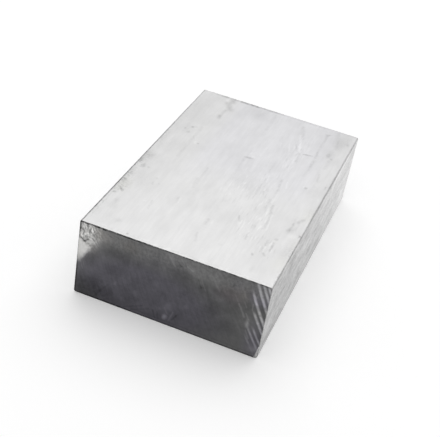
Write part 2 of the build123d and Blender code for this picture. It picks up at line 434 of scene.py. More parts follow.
# The picture, 440 by 437 pixels
PICTURE_WIDTH = 440
FOCAL_PIXELS = 999.4
SENSOR_WIDTH = 36.0
EYE = Vector((102.5, -402.8, 293.3)) * MM
LOOK_AZIMUTH = math.radians(14.645)
LOOK_DOWN = math.radians(33.983)
CAMERA_ROLL = math.radians(10.70)

# The light: an even room, and a big soft lamp high up behind the block
ROOM_LIGHT = 0.53
LAMP_SIZE = 3.2
LAMP_DISTANCE = 2.6
LAMP_ELEVATION = math.radians(66)
LAMP_AZIMUTH = math.radians(-8)
LAMP_WATTS = 35.5
# The floor: from its middle to a side, its tone, and its own lift
FLOOR_HALF = 5.0
FLOOR_TONE = 0.9
FLOOR_LIFT = 0.25


class Sums:
    """Short names for the nodes that the shape's tree and the finishes' trees both use."""

    def __init__(self, tree):
        self.tree = tree

    def node(self, kind, **settings):
        made = self.tree.nodes.new(kind)
        for name, value in settings.items():
            setattr(made, name, value)
        return made

    def feed(self, socket, value):
        """Links a value that another node gives, or writes a plain value on the socket."""
        if isinstance(value, bpy.types.NodeSocket):
            self.tree.links.new(value, socket)
        else:
            socket.default_value = value

    def sum(self, operation, *values):
        made = self.node("ShaderNodeMath", operation=operation)
        for socket, value in zip(made.inputs, values):
            self.feed(socket, value)
        return made.outputs[0]

    def add(self, a, b):
        return self.sum("ADD", a, b)

    def take(self, a, b):
        return self.sum("SUBTRACT", a, b)

    def times(self, a, b):
        return self.sum("MULTIPLY", a, b)

    def over(self, a, b):
        return self.sum("DIVIDE", a, b)

    def least(self, a, b):
        return self.sum("MINIMUM", a, b)

    def most(self, a, b):
        return self.sum("MAXIMUM", a, b)

    def size(self, a):
        return self.sum("ABSOLUTE", a)

    def passed_on(self, kind, geometry, **others):
        """The geometry after a node of that kind, whose other inputs are given by name."""
        made = self.node(kind)
        for name, value in {"Geometry": geometry, **others}.items():
            self.feed(made.inputs[name], value)
        return made.outputs[0]

    def vector_sum(self, operation, *values):
        made = self.node("ShaderNodeVectorMath", operation=operation)
        for socket, value in zip(made.inputs, values):
            self.feed(socket, value)
        return made.outputs

    def vector(self, x, y, z):
        made = self.node("ShaderNodeCombineXYZ")
        for socket, value in zip(made.inputs, (x, y, z)):
            self.feed(socket, value)
        return made.outputs[0]

    def parts(self, vector):
        made = self.node("ShaderNodeSeparateXYZ")
        self.feed(made.inputs[0], vector)
        return made.outputs

    def reach(self, a, b):
        """The length of the flat vector (a, b)."""
        return self.vector_sum("LENGTH", self.vector(a, b, 0.0))["Value"]

    def ramp(self, value, start, end, low=0.0, high=1.0, smooth=True):
        """value carried from start..end to low..high, and held at both ends."""
        kind = "SMOOTHSTEP" if smooth else "LINEAR"
        made = self.node("ShaderNodeMapRange", interpolation_type=kind, clamp=True)
        given = {"Value": value, "From Min": start, "From Max": end, "To Min": low, "To Max": high}
        for name, number in given.items():
            self.feed(made.inputs[name], number)
        return made.outputs["Result"]

    def fade(self, distance, name):
        """A coordinate or distance turned into the values that FADES gives under that name."""
        start, end, *values = FADES[name]
        return self.ramp(distance, start * MM, end * MM, *values)

    def level(self, noise, name, smooth=True):
        """A noise's level turned into the values that LEVELS gives under that name."""
        return self.ramp(noise, *LEVELS[name], smooth=smooth)

    def swing(self, noise, amount, spread=0.15):
        """A noise turned into a change of up to amount either way, reached spread from its middle."""
        return self.ramp(noise, 0.5 - spread, 0.5 + spread, -amount, amount, smooth=False)

    def noise(self, vector, grain, detail=2.0, roughness=0.5, stretch=(1, 1, 1), shift=(0, 0, 0)):
        """Smooth noise from 0 to 1 whose features are about grain metres long, times stretch."""
        scale = tuple(1 / (grain * part) for part in stretch)
        placed = self.vector_sum("MULTIPLY_ADD", vector, scale, shift)["Vector"]
        made = self.node("ShaderNodeTexNoise", noise_dimensions="3D")
        self.feed(made.inputs["Vector"], placed)
        made.inputs["Scale"].default_value = 1.0
        made.inputs["Detail"].default_value = detail
        made.inputs["Roughness"].default_value = roughness
        return made.outputs[0]

    def named_noise(self, name, place):
        """The noise that NOISES gives under that name."""
        grain, *rest = NOISES[name]
        return self.noise(place, grain * MM, *rest)

    def bump(self, height, depth):
        """A shading normal for fine relief, whose height of 0 to 1 stands for depth metres."""
        made = self.node("ShaderNodeBump")
        made.inputs["Strength"].default_value = 1.0
        made.inputs["Distance"].default_value = depth
        self.feed(made.inputs["Height"], height)
        return made.outputs[0]

    def small_tree(self, name, build):
        """A node that stands for a small tree of that name, which is built the first time."""
        shelf = self.tree.bl_idname + " " + name
        if shelf not in bpy.data.node_groups:
            build(bpy.data.node_groups.new(shelf, self.tree.bl_idname))
        kind = "GeometryNodeGroup" if self.tree.bl_idname == "GeometryNodeTree" else "ShaderNodeGroup"
        return self.node(kind, node_tree=bpy.data.node_groups[shelf])

    def spots(self, flat, areas):
        """The sum of soft spots on a flat face: centre, reach, lean in degrees and amount of each."""
        total = 0.0
        for a, b, reach_a, reach_b, lean, amount in areas:
            made = self.small_tree("soft spot", soft_spot)
            self.feed(made.inputs["Total"], total)
            self.feed(made.inputs["Flat"], flat)
            made.inputs["Centre"].default_value = (a * MM, b * MM, 0.0)
            made.inputs["Reach"].default_value = (reach_a * MM, reach_b * MM, 1.0)
            made.inputs["Lean"].default_value = math.radians(lean)
            made.inputs["Amount"].default_value = amount
            total = made.outputs[0]
        return total

    def strokes(self, flat, lines):
        """The sum of soft lines on a flat face: start, end, half width and amount of each."""
        total = 0.0
        for a0, b0, a1, b1, half_width, amount in lines:
            made = self.small_tree("soft line", soft_line)
            self.feed(made.inputs["Total"], total)
            self.feed(made.inputs["Flat"], flat)
            made.inputs["Start"].default_value = (a0 * MM, b0 * MM, 0.0)
            made.inputs["End"].default_value = (a1 * MM, b1 * MM, 0.0)
            made.inputs["Half width"].default_value = half_width * MM
            made.inputs["Amount"].default_value = amount
            total = made.outputs[0]
        return total

    def shaken(self, flat, place, name):
        """Flat coordinates that wander as SHAKES gives under that name, for uneven marks."""
        grain, farthest, shift = SHAKES[name]
        other_shift = (shift[0] + 5, shift[1], shift[2] + 3)
        one = self.take(self.noise(place, grain * MM, 2.0, shift=shift), 0.5)
        other = self.take(self.noise(place, grain * MM, 2.0, shift=other_shift), 0.5)
        swing = 2 * farthest * MM
        off = self.vector(self.times(one, swing), self.times(other, swing), 0.0)
        return self.vector_sum("ADD", flat, off)["Vector"]


def adding_tree(tree, floats, vectors):
    """Gives a small tree a running total and its other inputs; returns its helper and inputs."""
    for name in ("Total", *floats):
        tree.interface.new_socket(name=name, in_out="INPUT", socket_type="NodeSocketFloat")
    for name in vectors:
        tree.interface.new_socket(name=name, in_out="INPUT", socket_type="NodeSocketVector")
    tree.interface.new_socket(name="Total", in_out="OUTPUT", socket_type="NodeSocketFloat")
    s = Sums(tree)
    return s, s.node("NodeGroupInput").outputs


def soft_spot(tree):
    """Adds a soft spot on a flat face to a total: the whole amount at its centre, none past its reach."""
    s, given = adding_tree(tree, ("Lean", "Amount"), ("Flat", "Centre", "Reach"))
    off = s.vector_sum("SUBTRACT", given["Flat"], given["Centre"])["Vector"]
    back = s.times(given["Lean"], -1.0)
    turned = s.node("ShaderNodeVectorRotate", rotation_type="Z_AXIS")
    s.feed(turned.inputs["Vector"], off)
    s.feed(turned.inputs["Angle"], back)
    off = s.vector_sum("DIVIDE", turned.outputs[0], given["Reach"])["Vector"]
    shown = s.ramp(s.vector_sum("LENGTH", off)["Value"], 0.0, 1.0, 1.0, 0.0)
    total = s.sum("MULTIPLY_ADD", shown, given["Amount"], given["Total"])
    s.feed(s.node("NodeGroupOutput").inputs[0], total)


def soft_line(tree):
    """Adds a soft line on a flat face to a total: the whole amount along its middle."""
    s, given = adding_tree(tree, ("Half width", "Amount"), ("Flat", "Start", "End"))
    run = s.vector_sum("SUBTRACT", given["End"], given["Start"])["Vector"]
    off = s.vector_sum("SUBTRACT", given["Flat"], given["Start"])["Vector"]
    along = s.vector_sum("DOT_PRODUCT", off, run)["Value"]
    share = s.over(along, s.vector_sum("DOT_PRODUCT", run, run)["Value"])
    share = s.least(s.most(share, 0.0), 1.0)
    share = s.vector(share, share, share)
    nearest = s.vector_sum("MULTIPLY", run, share)["Vector"]
    away = s.vector_sum("DISTANCE", off, nearest)["Value"]
    shown = s.ramp(away, 0.0, given["Half width"], 1.0, 0.0)
    total = s.sum("MULTIPLY_ADD", shown, given["Amount"], given["Total"])
    s.feed(s.node("NodeGroupOutput").inputs[0], total)


def new_object(name, data):
    """A new object of that name in the scene."""
    made = bpy.data.objects.new(name, data)
    bpy.context.scene.collection.objects.link(made)
    return made


def new_finish(name):
    """A new material: itself, its node helper and its shader node."""
    material = bpy.data.materials.new(name)
    material.use_nodes = True
    return material, Sums(material.node_tree), material.node_tree.nodes["Principled BSDF"]


# Marks that both the shape and the finishes read

def from_shaft(s, x, z):
    """How far a point of an end was from the saw blade's shaft."""
    return s.reach(s.take(x, BLADE_ACROSS), s.take(z, BLADE_UP))


def saw_marks(s, x, z):
    """How strongly the saw marks stand out at a point of the near end: 0 beside them, about 1 on one."""
    away = from_shaft(s, x, z)
    half_width = s.fade(z, "saw mark's half width")
    shown = 0.0
    for radius, top, strength in SAW_MARKS:
        off = s.size(s.take(away, radius * MM))
        line = s.ramp(off, SAW_MARK_CORE, half_width, strength, 0.0)
        begun = s.ramp(z, top * MM - SAW_MARK_FADE, top * MM, 1.0, 0.0)
        shown = s.most(shown, s.times(line, begun))
    shown = s.times(shown, s.fade(z, "saw marks' foot"))
    return s.times(shown, s.fade(x, "saw marks' left border"))


def blade_ripple(s, x, z):
    """The even ripple that the blade left all over an end, from 0 to 1."""
    wave = s.sum("SINE", s.times(from_shaft(s, x, z), 2 * math.pi / SAW_PITCH))
    return s.sum("MULTIPLY_ADD", wave, 0.5, 0.5)


def past_break(s, place):
    """How far a point stands out past the broken corner's plane; negative inside the block."""
    on_plane, outward = broken_corner()
    off = s.vector_sum("SUBTRACT", place, on_plane)["Vector"]
    return s.vector_sum("DOT_PRODUCT", off, outward)["Value"]


def broken_corner():
    """A point on the broken corner's plane and the plane's outward normal."""
    corner = Vector((WIDTH / 2, -LENGTH / 2, 0))
    up_the_end = corner + Vector((0, 0, BREAK_HEIGHT))
    across_the_end = corner - Vector((BREAK_WIDTH, 0, 0))
    along_the_side = corner + Vector((0, BREAK_DEPTH, 0))
    outward = (across_the_end - up_the_end).cross(along_the_side - up_the_end)
    return up_the_end, outward.normalized()


# The block's shape

def spread_out(s, along, extent, steps, knots):
    """Moves an even grid's lines to where detail needs them; the middle and the faces stay.

    along is a coordinate of the even grid and extent the block's size there. knots are pairs of
    grid steps counted from the face and the depth under the face where that line goes.
    """
    half = s.over(extent, 2)
    inward = s.over(s.take(half, s.size(along)), s.over(extent, steps))
    depth = 0.0
    before_step, before_depth = 0, 0.0
    for at_step, at_depth in knots:
        more = s.ramp(inward, before_step, at_step, 0.0, at_depth - before_depth, smooth=False)
        depth = s.add(depth, more)
        before_step, before_depth = at_step, at_depth
    rest = s.take(half, before_depth)
    depth = s.add(depth, s.ramp(inward, before_step, steps / 2, 0.0, rest, smooth=False))
    return s.times(s.take(half, depth), s.sum("SIGN", along))


def round_long_edges(s, x, z, width, height, radius):
    """Carries the square section's corners on to the die's radius."""
    flat_x = s.take(s.over(width, 2), radius)
    flat_z = s.take(s.over(height, 2), radius)
    past_x = s.most(s.take(s.size(x), flat_x), 0.0)
    past_z = s.most(s.take(s.size(z), flat_z), 0.0)
    pull = s.over(s.most(past_x, past_z), s.most(s.reach(past_x, past_z), LEAST_LENGTH))
    round_x = s.add(s.least(s.size(x), flat_x), s.times(past_x, pull))
    round_z = s.add(s.least(s.size(z), flat_z), s.times(past_z, pull))
    return s.times(round_x, s.sum("SIGN", x)), s.times(round_z, s.sum("SIGN", z))


def bar_relief(s, place, x, y, z, width, length, height):
    """The bar's own relief, always inwards: die lines on its faces, nicks in its edges, pits in the top.

    z is counted from the bar's middle here.
    """
    under_side = s.take(s.over(width, 2), s.size(x))
    under_top = s.take(s.over(height, 2), s.size(z))
    off_end = s.fade(s.take(s.over(length, 2), s.size(y)), "off the ends")
    on_side = s.times(s.sum("LESS_THAN", under_side, ON_FACE), s.fade(under_top, "off the long edges"))
    on_top = s.times(s.sum("LESS_THAN", under_top, ON_FACE), s.fade(under_side, "off the long edges"))

    lines = s.named_noise("die grooves", place)
    line_depth = s.ramp(lines, 0.3, 0.7, 0.0, DIE_LINE_DEPTH, smooth=False)
    pits = tuple((*pit[:5], pit[6] * MM) for pit in TOP_PITS)
    pit_depth = s.times(s.spots(s.vector(x, y, 0.0), pits), s.sum("GREATER_THAN", z, 0.0))

    edge = s.times(s.fade(under_side, "at a long edge"), s.fade(under_top, "at a long edge"))
    nicks = s.ramp(s.named_noise("edge nicks", place), 0.5, 0.75, 0.0, NICK_DEPTH)
    nicks = s.times(nicks, edge)
    in_x = s.times(s.add(nicks, s.times(on_side, line_depth)), off_end)
    in_z = s.times(s.add(nicks, s.times(on_top, s.add(line_depth, pit_depth))), off_end)
    inward_x = s.times(s.sum("SIGN", x), -1.0)
    inward_z = s.times(s.sum("SIGN", z), -1.0)
    return s.times(in_x, inward_x), s.times(in_z, inward_z)


def deburr_ends(s, x, y, z, width, length, height, leg):
    """Draws the section in over the last bit of length, where the burr was filed off."""
    past = s.most(s.take(s.size(y), s.take(s.over(length, 2), leg)), 0.0)
    narrower = s.take(1.0, s.over(past, s.over(width, 2)))
    lower = s.take(1.0, s.over(past, s.over(height, 2)))
    return s.times(x, narrower), s.times(z, lower)


def break_corner(s, place):
    """Lays whatever stands past the broken corner's plane back on to it."""
    push = s.vector_sum("SCALE", broken_corner()[1])["Vector"]
    s.feed(push.node.inputs["Scale"], s.times(s.most(past_break(s, place), 0.0), -1.0))
    return s.vector_sum("ADD", place, push)["Vector"]


def end_relief(s, place, x, y, z, length, mark_depth):
    """How far each point of the two sawn ends lies in from the end's plane, along Y."""
    near = s.sum("LESS_THAN", y, s.add(s.over(length, -2), ON_FACE))
    far = s.sum("GREATER_THAN", y, s.add(s.over(length, 2), -ON_FACE))
    marks = s.least(saw_marks(s, x, z), 1.0)
    between = s.times(s.take(1.0, marks), s.fade(x, "saw marks' left border"))
    near_depth = s.times(between, mark_depth)
    near_depth = s.add(near_depth, s.times(blade_ripple(s, x, z), BLADE_RIPPLE_DEPTH))
    far_depth = s.times(blade_ripple(s, x, z), s.times(mark_depth, FAR_RIPPLE_SHARE))
    cloud = s.times(s.named_noise("end waves", place), END_WAVE_DEPTH)
    rim = s.least(s.take(WIDTH / 2, s.size(x)), s.least(z, s.take(HEIGHT, z)))
    inside = s.fade(rim, "inside an end's rim")
    near_push = s.times(near, s.times(inside, s.add(near_depth, cloud)))
    far_push = s.times(far, s.times(inside, s.add(far_depth, cloud)))
    return s.take(near_push, far_push)


def shape_tree():
    """The tree that grows the block from a box with a grid on each face."""
    tree = bpy.data.node_groups.new("sawn block", "GeometryNodeTree")
    tree.interface.new_socket(name="Geometry", in_out="OUTPUT", socket_type="NodeSocketGeometry")
    for name in ("Width", "Length", "Height", "Die radius", "Deburr leg", "Saw mark depth"):
        tree.interface.new_socket(name=name, in_out="INPUT", socket_type="NodeSocketFloat")
    for name in ("Mill face", "Sawn end"):
        tree.interface.new_socket(name=name, in_out="INPUT", socket_type="NodeSocketMaterial")
    s = Sums(tree)
    given = s.node("NodeGroupInput").outputs
    width, length, height = given["Width"], given["Length"], given["Height"]

    box = s.node("GeometryNodeMeshCube")
    s.feed(box.inputs["Size"], s.vector(width, length, height))
    box.inputs["Vertices X"].default_value = STEPS_ACROSS + 1
    box.inputs["Vertices Y"].default_value = STEPS_ALONG + 1
    box.inputs["Vertices Z"].default_value = STEPS_UP + 1

    x, y, z = s.parts(s.node("GeometryNodeInputPosition").outputs[0])
    x = spread_out(s, x, width, STEPS_ACROSS, ACROSS_KNOTS)
    y = spread_out(s, y, length, STEPS_ALONG, ALONG_KNOTS)
    z = spread_out(s, z, height, STEPS_UP, UP_KNOTS)
    in_x, in_z = bar_relief(s, s.vector(x, y, z), x, y, z, width, length, height)
    x, z = round_long_edges(s, x, z, width, height, given["Die radius"])
    x, z = deburr_ends(s, s.add(x, in_x), y, s.add(z, in_z), width, length, height, given["Deburr leg"])
    z = s.add(z, s.over(height, 2))
    place = s.vector(x, y, z)
    relief = end_relief(s, place, x, y, z, length, given["Saw mark depth"])
    place = s.vector(x, s.add(y, relief), z)
    place = break_corner(s, place)

    shape = s.passed_on("GeometryNodeSetPosition", box.outputs["Mesh"], Position=place)
    shape = s.passed_on("GeometryNodeSetShadeSmooth", shape)
    shape = s.passed_on("GeometryNodeRealizeInstances", shape)
    shape = s.passed_on("GeometryNodeSetMaterial", shape, Material=given["Mill face"])
    facing_y = s.size(s.parts(s.node("GeometryNodeInputNormal").outputs[0])[1])
    ends = s.sum("GREATER_THAN", facing_y, SAWN_FACING)
    shape = s.passed_on("GeometryNodeSetMaterial", shape, Selection=ends, Material=given["Sawn end"])
    s.feed(s.node("NodeGroupOutput").inputs[0], shape)
    return tree


def grow_block(mill, sawn):
    """Runs the tree once and returns the block as a plain mesh object."""
    tree = shape_tree()
    seedling = new_object("block seed", bpy.data.meshes.new("block seed"))
    grown = seedling.modifiers.new("sawn block", "NODES")
    grown.node_group = tree
    values = {
        "Width": WIDTH, "Length": LENGTH, "Height": HEIGHT, "Die radius": DIE_RADIUS,
        "Deburr leg": DEBURR_LEG, "Saw mark depth": SAW_MARK_DEPTH, "Mill face": mill, "Sawn end": sawn,
    }
    for name, value in values.items():
        grown[tree.interface.items_tree[name].identifier] = value
    evaluated = seedling.evaluated_get(bpy.context.evaluated_depsgraph_get())
    mesh = bpy.data.meshes.new_from_object(evaluated)
    bpy.data.objects.remove(seedling)
    mesh.name = "sawn_block"
    return new_object("sawn_block", mesh)


# The finishes

def metal(name):
    """A new metal finish, as new_finish gives it."""
    material, s, shader = new_finish(name)
    shader.inputs["Metallic"].default_value = 1.0
    return material, s, shader


def tinted(s, tone, redder, bluer):
    """A grey of the given tone, with red and blue a little above green, or under it."""
    return s.vector(s.times(tone, s.add(1.0, redder)), tone, s.times(tone, s.add(1.0, bluer)))


def broken_metal(s, place, x, z, tone):
    """The tone with the broken corner's fresh, torn metal laid over it, and a painted highlight streaked
    down it.
    """
    shown = s.fade(past_break(s, place), "on the broken plane")
    torn = s.level(s.named_noise("torn metal", place), "torn metal")
    torn = s.add(torn, s.strokes(s.vector(x, z, 0.0), BROKEN_STREAK))
    return s.add(s.times(tone, s.take(1.0, shown)), s.times(torn, shown))


def top_marks(s, place, flat):
    """What the scratches, stains and pits add to the top face's tone, as a share of it."""
    wavy = s.shaken(flat, place, "scratches")
    broken = s.level(s.named_noise("scratch gaps", place), "scratch gaps")
    ragged = s.shaken(flat, place, "stains")
    blotchy = s.level(s.named_noise("stain blotches", place), "stain blotches")
    pits = tuple(pit[:6] for pit in TOP_PITS)
    change = s.times(s.strokes(wavy, TOP_SCRATCHES), broken)
    change = s.add(change, s.times(s.strokes(wavy, SMUDGES), s.level(broken, "calmer")))
    change = s.add(change, s.times(s.spots(ragged, TOP_STAINS), blotchy))
    return s.add(change, s.times(s.spots(wavy, pits), s.level(blotchy, "calmer")))


def beside_edge(rows):
    """The grime's rows as soft spots on a flat face whose first coordinate counts from the edge."""
    return tuple((0.0, centre, reach_in, along, 0, amount) for centre, along, reach_in, amount in rows)


def grime(s, place, x, y):
    """Dark and light specks beside the top's long edges, as a share of the tone."""
    from_left = s.vector(s.add(x, WIDTH / 2), y, 0.0)
    from_right = s.vector(s.take(WIDTH / 2, x), y, 0.0)
    left = s.spots(from_left, beside_edge(LEFT_GRIME))
    amount = s.add(left, s.spots(from_right, beside_edge(RIGHT_GRIME)))
    specks = s.named_noise("grime specks", place)
    dark = s.level(specks, "dark grime")
    light = s.level(specks, "light grime")
    return s.times(amount, s.add(dark, light))


def edge_lines(s, place, x, y, z):
    """What the edges add to the mill faces' tone, as a share of it: painted shade along the top's left
    and right rims and on the near end's filed edge, a patchy darker far rim, a painted highlight flecked
    along the near rim, and wear on the lower rims.
    """
    uneven = s.level(s.named_noise("edge unevenness", place), "edge unevenness")
    high = s.fade(z, "top rim")
    # Painted shade: the top's left rim is darkened, most towards the near end.
    left = s.times(high, s.fade(x, "left rim"))
    how_dark = s.add(s.fade(y, "left rim's tone, near part"), s.fade(y, "left rim's tone, far part"))
    outermost = s.times(s.fade(x, "outermost left"), s.fade(y, "outermost left's tone"))
    left = s.add(s.times(left, how_dark), s.times(high, outermost))
    # Painted shade along the top's right rim, which turns lighter towards the near end.
    right = s.times(high, s.fade(x, "right rim"))
    right = s.times(right, s.fade(y, "right rim's tone"))
    back = s.times(s.fade(y, "far rim"), high)
    how_dark = s.fade(s.size(s.add(x, FAR_RIM_DARKEST)), "far rim's tone")
    how_dark = s.times(how_dark, s.fade(x, "far rim's left border"))
    patchy = s.level(s.named_noise("far rim patches", place), "far rim patches")
    back = s.times(back, s.times(how_dark, patchy))
    # A painted highlight along the near rim, in flecks.
    front = s.times(s.fade(y, "near rim"), high)
    front = s.times(front, s.fade(x, "near rim's strength"))
    flecks = s.level(s.named_noise("near rim flecks", place), "near rim flecks")
    # Painted shade on the near end's filed edge, lighter at its right end.
    filed = s.fade(y, "filed edge")
    filed = s.times(filed, s.fade(x, "filed edge's tone"))
    dark = s.times(s.add(s.add(left, right), s.add(back, filed)), uneven)
    dark = s.most(dark, DARKEST_EDGE)
    rubbed = s.times(s.fade(s.size(x), "outermost sides"), s.fade(z, "lower rim"))
    rubbed = s.times(rubbed, s.level(uneven, "lower rim's rubbing"))
    return s.add(s.add(dark, rubbed), s.times(front, flecks))


def top_change(s, place, flat, x, y, scuffs):
    """What the scuffs, marks and grime add to the top face's tone, as a share of it."""
    scuffed = s.add(s.level(scuffs, "dark scuffs"), s.level(scuffs, "light scuffs"))
    scuffed = s.times(s.least(s.spots(flat, SCUFFED), 1.0), scuffed)
    return s.add(s.add(scuffed, top_marks(s, place, flat)), grime(s, place, x, y))


def side_change(s, place, x, y, z, streaks):
    """What the lumps, grain, painted shading and shades add to a side's tone, as a share of it."""
    lumps = s.named_noise("side lumps", place)
    grain = s.named_noise("side grain", place)
    change = s.swing(lumps, SIDE_LUMPS_TONE)
    change = s.add(change, s.swing(streaks, SIDE_STREAKS_TONE))
    change = s.add(change, s.swing(grain, SIDE_GRAIN_TONE, spread=0.2))
    change = s.times(change, s.fade(y, "side's unevenness"))
    # Painted shade along the side: darker towards the near end, lighter towards the far one.
    painted_shading = s.ramp(y, -LENGTH / 2, LENGTH / 2, SIDE_NEAR_PAINTED_SHADE, SIDE_FAR_PAINTED_LIGHT, smooth=False)
    # The right-hand side's shades include a painted highlight under the top edge and painted shade along
    # the foot.
    wavy = s.shaken(s.vector(y, z, 0.0), place, "side shades")
    shades = s.times(s.spots(wavy, SIDE_SHADES), s.sum("GREATER_THAN", x, 0.0))
    return s.add(s.add(change, painted_shading), shades)


def mill_finish():
    """The bar's drawn faces: pale metal with fine lines along the bar, scratches and stains."""
    material, s, shader = metal("mill_aluminium")
    place = s.node("ShaderNodeTexCoord").outputs["Object"]
    x, y, z = s.parts(place)
    flat = s.vector(x, y, 0.0)
    on_top = s.sum("GREATER_THAN", z, HEIGHT - DIE_RADIUS / 2)
    on_side = s.sum("GREATER_THAN", s.size(x), WIDTH / 2 - DIE_RADIUS / 2)

    lines = s.named_noise("die lines", place)
    streaks = s.named_noise("mill streaks", place)
    lumps = s.named_noise("mill lumps", place)
    clouds = s.named_noise("mill clouds", place)
    scuffs = s.named_noise("scuffs", place)
    lined = s.level(clouds, "how lined")
    change = s.times(s.swing(lines, LINES_TONE), lined)
    for noise, amount in ((streaks, STREAKS_TONE), (lumps, LUMPS_TONE), (clouds, CLOUDS_TONE)):
        change = s.add(change, s.swing(noise, amount))
    change = s.add(change, s.times(on_top, top_change(s, place, flat, x, y, scuffs)))
    change = s.add(change, s.times(on_side, side_change(s, place, x, y, z, streaks)))

    tone = s.times(s.add(1.0, change), s.add(1.0, edge_lines(s, place, x, y, z)))
    tone = broken_metal(s, place, x, z, s.times(MILL_TONE, tone))
    yellow = s.times(s.spots(flat, YELLOWED), on_top)
    cool = s.times(s.fade(x, "cool area's left border"), s.fade(x, "cool area's blue"))
    cool = s.times(cool, s.fade(y, "cool area's near border"))
    colour = tinted(s, tone, MILL_RED, s.take(s.times(cool, on_top), yellow))
    s.feed(shader.inputs["Base Color"], colour)
    s.feed(shader.inputs["Roughness"], s.level(lumps, "mill roughness", smooth=False))
    lines_height = s.times(lines, LINES_BUMP)
    height = s.add(lines_height, s.add(s.times(scuffs, SCUFFS_BUMP), s.times(streaks, STREAKS_BUMP)))
    s.feed(shader.inputs["Normal"], s.bump(height, MILL_BUMP))
    return material


def sawn_finish():
    """The two sawn ends: clouded metal painted dark as shade, with the saw's curved marks painted lighter
    as a highlight.
    """
    material, s, shader = metal("sawn_aluminium")
    place = s.node("ShaderNodeTexCoord").outputs["Object"]
    x, y, z = s.parts(place)
    near = s.sum("LESS_THAN", y, 0.0)
    flat = s.vector(x, z, 0.0)
    clouds = s.named_noise("sawn clouds", place)
    grain = s.named_noise("sawn grain", place)
    around = s.sum("ARCTAN2", s.take(z, BLADE_UP), s.take(x, BLADE_ACROSS))
    swept = s.vector(from_shaft(s, x, z), s.times(around, SWEEP_RADIUS), y)
    sweep = s.named_noise("blade sweep", swept)

    # Painted shade: the ends' tone is painted far darker than the mill faces' metal.
    tone = s.level(clouds, "sawn tone with painted shade", smooth=False)
    band = s.fade(s.add(z, s.times(clouds, BAND_WANDER)), "upper band")
    tone = s.add(tone, s.times(band, BAND_TONE))
    darkest = s.ramp(band, 0, 1, *DARK_GRAIN)
    lightest = s.ramp(band, 0, 1, *LIGHT_GRAIN)
    tone = s.times(tone, s.ramp(grain, 0.3, 0.7, darkest, lightest))
    tone = s.times(tone, s.level(sweep, "blade sweep", smooth=False))
    tone = s.add(tone, s.times(near, near_end_shades(s, place, flat, x, z)))
    strength = s.level(s.named_noise("saw mark strength", place), "saw mark strength")
    marks = s.times(saw_marks(s, x, z), near)
    # The saw marks are painted lighter: a painted highlight along them.
    tone = s.add(tone, s.times(s.times(marks, strength), SAW_MARK_HIGHLIGHT))
    ripple = s.times(blade_ripple(s, x, z), s.level(clouds, "ripple's strength"))
    tone = s.add(tone, s.times(ripple, RIPPLE_TONE))
    # The rubbed corner's painted highlight is laid over the tone.
    patch, rubbed = bright_patch(s, place, flat, x, z)
    patch = s.times(patch, near)
    tone = s.add(s.times(tone, s.take(1.0, patch)), s.times(rubbed, patch))
    tone = s.times(tone, s.add(1.0, end_rim(s, place, x, z)))
    tone = broken_metal(s, place, x, z, tone)

    plain = s.times(s.take(1.0, patch), s.take(1.0, s.times(band, BAND_HIDES)))
    violet = s.times(s.least(s.spots(flat, VIOLET), MOST_VIOLET), plain)
    brown = s.spots(flat, BROWN)
    violet_red = s.times(violet, VIOLET_RED)
    redder = s.add(violet_red, s.add(s.times(brown, BROWN_RED), s.times(patch, PATCH_RED)))
    yellower = s.add(s.times(brown, BROWN_YELLOW), s.times(patch, PATCH_YELLOW))
    s.feed(shader.inputs["Base Color"], tinted(s, tone, redder, s.take(violet, yellower)))
    s.feed(shader.inputs["Roughness"], s.level(grain, "sawn roughness", smooth=False))
    height = s.add(sweep, s.times(grain, GRAIN_BUMP))
    s.feed(shader.inputs["Normal"], s.bump(height, SAWN_BUMP))
    return material


def near_end_shades(s, place, flat, x, z):
    """The near end's lighter and darker areas, as an addition to its tone."""
    shades = s.spots(s.shaken(flat, place, "end shades"), END_SHADES)
    streaks = s.strokes(s.shaken(flat, place, "end streaks"), END_STREAKS)
    change = s.add(shades, streaks)
    start, end = Vector(BORDER_START) * MM, Vector(BORDER_END) * MM
    along = (end - start).normalized()
    above = s.add(s.times(s.take(x, start.x), -along.y), s.times(s.take(z, start.y), along.x))
    wander = s.times(s.take(s.named_noise("border's wander", place), 0.5), BORDER_WANDER)
    above = s.add(above, wander)
    lighter = s.times(s.fade(above, "past the border"), s.fade(above, "far past the border"))
    return s.add(change, s.times(lighter, s.fade(x, "lighter area's tone")))


